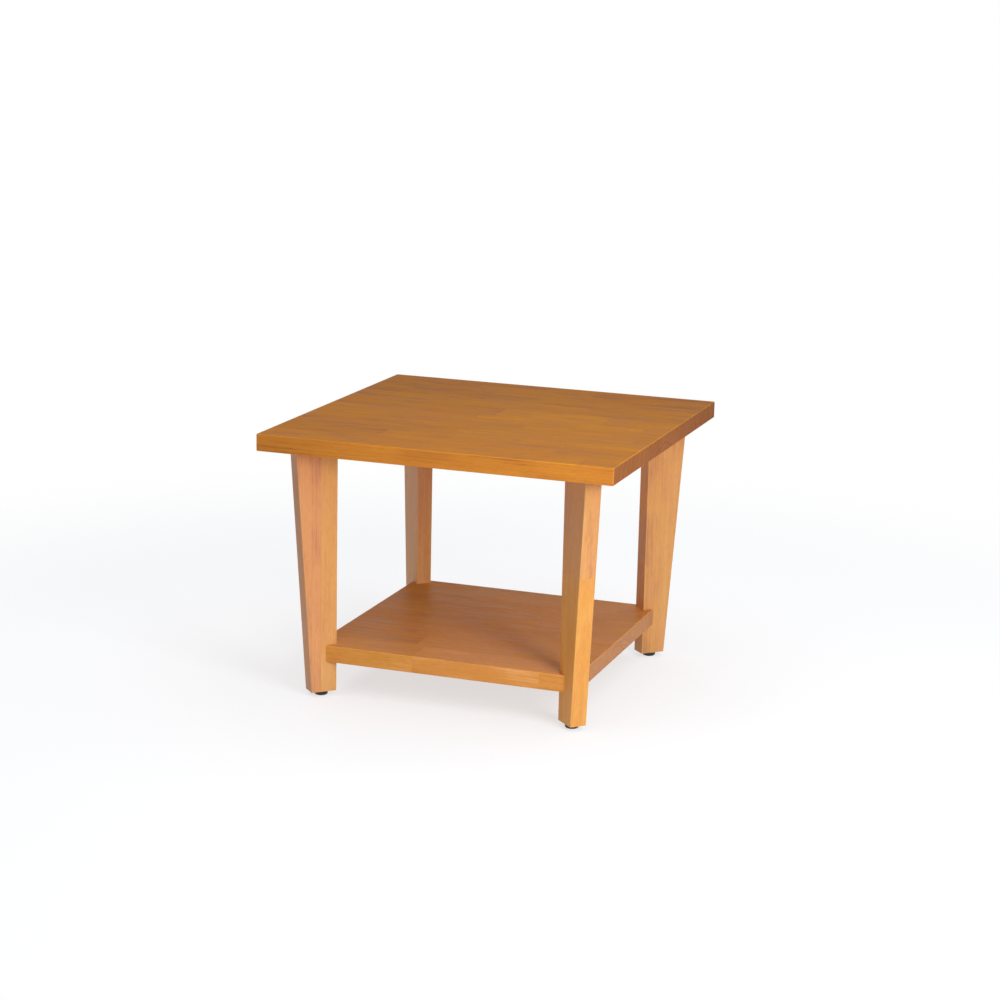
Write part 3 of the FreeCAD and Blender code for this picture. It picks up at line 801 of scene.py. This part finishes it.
# %% The foot's outline
SOLE = [(0, 0.8), (6.0, 0.8), (6.7, 0.25), (7.3, 0), (8.4, 0)]
EDGE_START, EDGE_RADIUS = 8.4, 3.1
EDGE_ANGLES = [math.radians(degrees) for degrees in range(15, 91, 15)]
SOFT_EDGE = [
    (EDGE_START + EDGE_RADIUS * math.sin(angle), EDGE_RADIUS - EDGE_RADIUS * math.cos(angle))
    for angle in EDGE_ANGLES
]
PARTING_LINE = [(11.5, 5.1), (11.25, 5.25), (11.25, 5.55), (11.5, 5.7)]
SHOULDER = [(11.5, 7.2), (11.35, 7.65), (10.9, 7.95), (10.6, 8)]
POCKET = [(6.4, 8), (6.1, 7.8), (6.0, 7.5), (6.0, 4), (0, 4)]
FOOT = SOLE + SOFT_EDGE + PARTING_LINE + SHOULDER + POCKET
print("a foot is drawn with", len(FOOT), "points")

# %% [markdown]
# The stem is a 6 mm screw with a 1 mm pitch, so one turn of the foot raises the leg by 1 mm. Its hexagon
# head sits in the foot's pocket. Foot and stem ride on the glide's own body.

# %% Feet and stems
GLIDE = 223.153
STEM_RADIUS, STEM_PITCH, STEM_SPAN = 3, 1, (7.9, 38)
HEAD_FLATS, HEAD_SPAN = 10, (4, 8)
for corner, (sign_x, sign_y, *_) in CORNERS.items():
    place = Matrix.Translation((sign_x * GLIDE, sign_y * GLIDE, 0))
    body = f"glide_{corner}"
    foot = joined((turned(FOOT), place))
    new_piece(f"foot_{corner}", foot, nylon, "black_nylon", body, f"glide_foot_{corner}")
    head = hexagon(HEAD_FLATS, *HEAD_SPAN, hole=0)
    thread = threaded(STEM_RADIUS, STEM_PITCH, *STEM_SPAN)
    stem = joined((head, place), (thread, place))
    new_piece(f"stem_{corner}", stem, zinc, "zinc_steel", body, f"glide_stem_{corner}")

# %% [markdown]
# ## The shelf's bolts and nuts
#
# A hanger bolt goes from each leg through the shelf's corner, lying flat along the diagonal, and is drawn
# tight by a nut in a pocket under the shelf. The bolt's machine thread is what shows there. Its other end
# is a plain shank with a point, hidden in the leg. Heights are measured outwards from the leg's inner face.

# %% Hanger bolts and nuts
BOLT_HEIGHT = 74.5
BOLT_RADIUS, BOLT_PITCH, BOLT_SPAN = 3, 1, (-36, -2)
SHANK = [(0, -2), (3, -2), (3, 20), (2.6, 22), (0.4, 26), (0, 26)]
SHANK_STEPS = 24
NUT_FLATS, NUT_SPAN, NUT_HOLE = 10, (-33, -28), 3.05


def at_leg(sign_x, sign_y, turn, height):
    """The place of a leg's inner face at a height, turned so that X points outwards."""
    middle = Matrix.Translation((sign_x * INNER_FACE / MM, sign_y * INNER_FACE / MM, height))
    return middle @ Matrix.Rotation(math.radians(turn), 4, "Z")


bolts, nuts = [], []
for sign_x, sign_y, turn, *_ in CORNERS.values():
    place = at_leg(sign_x, sign_y, turn, BOLT_HEIGHT) @ Matrix.Rotation(math.pi / 2, 4, "Y")
    bolts.append((threaded(BOLT_RADIUS, BOLT_PITCH, *BOLT_SPAN), place))
    bolts.append((turned(SHANK, SHANK_STEPS), place))
    nuts.append((hexagon(NUT_FLATS, *NUT_SPAN, NUT_HOLE), place))
new_piece("bolts", joined(*bolts), zinc, "zinc_steel", "table", "hanger_bolts")
new_piece("nuts", joined(*nuts), zinc, "zinc_steel", "table", "hanger_nuts")

# %% [markdown]
# ## The plate screws
#
# Pan-head screws hold each leg's plate to the top. The dome is turned, and left open in the middle. A
# cross is drawn in the opening and the ring around it filled, then the cross is pushed in and closed.

# %% A plate screw
HEAD_TOP = -2.4
DOME = [(2.5, HEAD_TOP), (3.3, -2.2), (4.1, -1.75), (4.6, -1.2), (4.8, -0.6), (4.8, 0)]
SCREW_SHANK = [(2.2, 0), (2.4, 3), (2.4, 14), (0.3, 19), (0, 19)]
CROSS = [(0.45, 2.0), (0.45, 0.45), (2.0, 0.45), (2.0, -0.45), (0.45, -0.45), (0.45, -2.0)]
CROSS += [(-x, -y) for x, y in CROSS]
CROSS_DEPTH, CROSS_TAPER = 1.5, 0.6
SCREW_STEPS = 32


def screw():
    shape = turned(DOME + SCREW_SHANK, SCREW_STEPS)
    rim = [edge for edge in shape.edges if edge.is_boundary]
    corners = [shape.verts.new((x, y, HEAD_TOP)) for x, y in CROSS]
    cross = [shape.edges.new(pair) for pair in zip(corners, corners[1:] + corners[:1])]
    bmesh.ops.triangle_fill(shape, use_beauty=True, edges=rim + cross)
    sunk = bmesh.ops.extrude_edge_only(shape, edges=cross)["geom"]
    floor_corners = [part for part in sunk if isinstance(part, bmesh.types.BMVert)]
    bmesh.ops.scale(shape, vec=(CROSS_TAPER, CROSS_TAPER, 1), verts=floor_corners)
    bmesh.ops.translate(shape, vec=(0, 0, CROSS_DEPTH), verts=floor_corners)
    bmesh.ops.edgeloop_fill(shape, edges=[edge for edge in shape.edges if edge.is_boundary])
    return shape


# %% Plate screws
PLATE_UNDERSIDE = 428
SCREW_PLACES = (-10, 84)
screws = []
for sign_x, sign_y, turn, *_ in CORNERS.values():
    plate = at_leg(sign_x, sign_y, turn, PLATE_UNDERSIDE)
    screws += [(screw(), plate @ Matrix.Translation((outwards, 0, 0))) for outwards in SCREW_PLACES]
new_piece("screws", joined(*screws), zinc, "zinc_steel", "table", "plate_screws")

# %% [markdown]
# ## The floor
#
# The photograph's ground is white, with a wide soft shadow. What the camera sees of the floor is a glow
# that is nearly white on its own, plus a share of real light, which is where the shadow shows. Farther
# out it fades to plain white. Rays that carry light to the table see another floor, so the tools below
# tell the rays apart and mix shaders.

# %% Tools for the floor and the world
WHITE = (1.0, 1.0, 1.0, 1.0)


def seen_directly(tree):
    """1 for rays from the camera, or from a mirror or a glass."""
    path = node(tree, "LightPath").outputs
    glossy = reckon(tree, "MAXIMUM", path["Is Glossy Ray"], path["Is Transmission Ray"])
    return reckon(tree, "MAXIMUM", path["Is Camera Ray"], glossy)


def mixed(tree, kind, first, second, feeds=None):
    """Mixes or adds two shaders, which are a node's last two sockets."""
    made = node(tree, kind, feeds)
    feed(tree, made.inputs[-2], first)
    feed(tree, made.inputs[-1], second)
    return made.outputs[0]


def glow(tree, strength, colour=WHITE):
    return node(tree, "Emission", {"Color": colour, "Strength": strength}).outputs[0]


def matt(tree, share):
    return node(tree, "BsdfDiffuse", {"Color": (share, share, share, 1.0)}).outputs[0]


# %% The floor that the camera sees
FLOOR_SIZE = 16
SHADE_SHARE = 0.34
NEAR_LEVEL = 1.01
FADE = (0.8, 1.8)
bpy.ops.mesh.primitive_plane_add(size=FLOOR_SIZE)
floor = bpy.context.object
floor.name = "floor"
floor_finish, tree, shader = new_finish("white_floor")
tree.nodes.remove(shader)
near = mixed(tree, "AddShader", matt(tree, SHADE_SHARE), glow(tree, NEAR_LEVEL - SHADE_SHARE))
place = node(tree, "TexCoord").outputs["Object"]
from_middle = reckon_vector(tree, "LENGTH", place)
seen = mixed(tree, "MixShader", near, glow(tree, 1.0), {"Fac": spread(tree, from_middle, *FADE)})
print("floor", FLOOR_SIZE, "m wide, with", SHADE_SHARE, "of its light real")

# %% [markdown]
# The floor that lights the table is a pool of warm light, as lit paper in a studio is. It is dim right
# under the table, where the shelf keeps the light off. Three brighter patches lie in front and at both
# sides. From below, the floor isn't seen at all.

# %% The floor that lights the table
WARM = (1.12, 1.0, 0.92, 1.0)
PAPER_SHARE = 0.2
POOL = (1.7, 0.5, 0.04, 0.25)
UNDER_TABLE = (0.18, 0.42, 0.08, 1.0)
PATCHES = ((0.05, -0.75, 0.0), (-0.75, 0.25, 0.0), (0.80, 0.15, 0.0))
PATCH = (0.85, 0.25, 0.0, 0.48)
pool = spread(tree, from_middle, *POOL)
pool = reckon(tree, "MULTIPLY", pool, spread(tree, from_middle, *UNDER_TABLE))
for centre in PATCHES:
    off = reckon_vector(tree, "LENGTH", reckon_vector(tree, "SUBTRACT", place, centre))
    pool = reckon(tree, "ADD", pool, spread(tree, off, *PATCH))
lights_table = mixed(tree, "AddShader", matt(tree, PAPER_SHARE), glow(tree, pool, WARM))
above = mixed(tree, "MixShader", lights_table, seen, {"Fac": seen_directly(tree)})
clear = node(tree, "BsdfTransparent").outputs[0]
below = node(tree, "NewGeometry").outputs["Backfacing"]
surface = mixed(tree, "MixShader", above, clear, {"Fac": below})
feed(tree, tree.nodes["Material Output"].inputs["Surface"], surface)
wear(floor, floor_finish)
print("floor lit with", len(PATCHES), "brighter patches")

# %% [markdown]
# ## The light
#
# The world gives a little cool light, which fills the shadows. To the camera, and in reflections, it is
# plain white.

# %% World
COOL = (0.75, 1.0, 1.50, 1.0)
FILL_LEVEL = 0.11
world = bpy.data.worlds.new("studio")
bpy.context.scene.world = world
world.use_nodes = True
tree = world.node_tree
tree.nodes.clear()
fill = node(tree, "Background", {"Color": COOL, "Strength": FILL_LEVEL}).outputs[0]
white = node(tree, "Background", {"Color": WHITE, "Strength": 1.0}).outputs[0]
backdrop = mixed(tree, "MixShader", fill, white, {"Fac": seen_directly(tree)})
feed(tree, node(tree, "OutputWorld").inputs["Surface"], backdrop)
print("world fills at", FILL_LEVEL)

# %% [markdown]
# The lamps are softboxes. Each is placed by its bearing, its height in degrees and its distance, and turned
# to face the table. They are hidden from the camera and from reflections. Light linking says what a lamp
# lights: the floor alone, or everything but the floor.

# %% A softbox
TARGET = Vector((0.0, 0.0, 0.25))
floor_only = bpy.data.collections.new("floor_only")
not_floor = bpy.data.collections.new("not_floor")
for collection, state in ((floor_only, "INCLUDE"), (not_floor, "EXCLUDE")):
    collection.objects.link(floor)
    collection.collection_objects[0].light_linking.link_state = state


def softbox(name, bearing, raised, distance, size, level, lights=not_floor):
    """A square lamp that faces the table. Its level is how bright it makes white paper there."""
    lamp = bpy.data.lights.new(name, "AREA")
    lamp.shape = "SQUARE"
    lamp.size = size
    lamp.energy = level * (math.pi * distance) ** 2
    turn, rise = math.radians(bearing), math.radians(raised)
    outwards = Vector((math.cos(rise) * math.cos(turn), math.cos(rise) * math.sin(turn), math.sin(rise)))
    facing = outwards.to_track_quat("Z", "Y").to_matrix().to_4x4()
    box = bpy.data.objects.new(name, lamp)
    bpy.context.scene.collection.objects.link(box)
    box.matrix_world = Matrix.Translation(TARGET + distance * outwards) @ facing
    box.visible_camera = False
    box.visible_glossy = False
    box.light_linking.receiver_collection = lights
    print(f"{name} lamp at {bearing} degrees, {raised} up")


# %% [markdown]
# The legs' bright faces all point to the front right, and the shadows under the top say how high the key
# lamp stands: at 19 degrees. A larger lamp above it lights the top, and a low one reaches in under the top.
# Two high ones fill in from the front and from overhead, and a rear one lights the back. The floor has two
# lamps of its own, because the photograph's ground shows no hard shadow: a very large one far up, and one
# at the key's side that lets the shadow lean to the left.

# %% Lamps
# Each line has the bearing and the height in degrees, the distance and the size in metres, and the level.
softbox("key", 316, 19, 2.0, 0.42, 0.40)
softbox("upper", 315, 41, 2.2, 1.1, 0.18)
softbox("low", 300, 4, 2.4, 0.6, 0.15)
softbox("front", 270, 58, 2.4, 0.8, 0.10)
softbox("overhead", 270, 82, 2.4, 0.8, 0.20)
softbox("rear", 68, 14, 2.4, 0.8, 0.14)
softbox("ground", 0, 90, 4.0, 7.0, 1.36, lights=floor_only)
softbox("ground_key", 322, 22, 2.4, 0.9, 0.55, lights=floor_only)

# %% [markdown]
# ## The camera
#
# The camera was fitted to the corners of the top, the legs and the shelf in the photograph: it stands
# about 4 m away, a little to the right, and looks down by 13 degrees through a long lens. It is turned by
# its own three directions, which are the columns of its matrix.

# %% Camera
PLACE = (1.358064, -3.815220, 1.258212)
YAW, PITCH, ROLL = (math.radians(angle) for angle in (19.4426, 13.1559, 1.2849))
SENSOR, FOCAL_LENGTH = 36.0, 87.151
back = Vector((math.sin(YAW) * math.cos(PITCH), -math.cos(YAW) * math.cos(PITCH), math.sin(PITCH)))
right = Vector((math.cos(YAW), math.sin(YAW), 0.0))
up = back.cross(right)
tilted_right = math.cos(ROLL) * right + math.sin(ROLL) * up
tilted_up = math.cos(ROLL) * up - math.sin(ROLL) * right
lens = bpy.data.cameras.new("camera")
lens.sensor_width = SENSOR
lens.lens = FOCAL_LENGTH
camera = bpy.data.objects.new("camera", lens)
bpy.context.scene.collection.objects.link(camera)
turned_to_table = Matrix((tilted_right, tilted_up, back)).transposed().to_4x4()
camera.matrix_world = Matrix.Translation(PLACE) @ turned_to_table
bpy.context.scene.camera = camera
bpy.context.scene.view_settings.view_transform = "Standard"
print("camera", round((Vector(PLACE) - TARGET).length, 2), "m from the table")
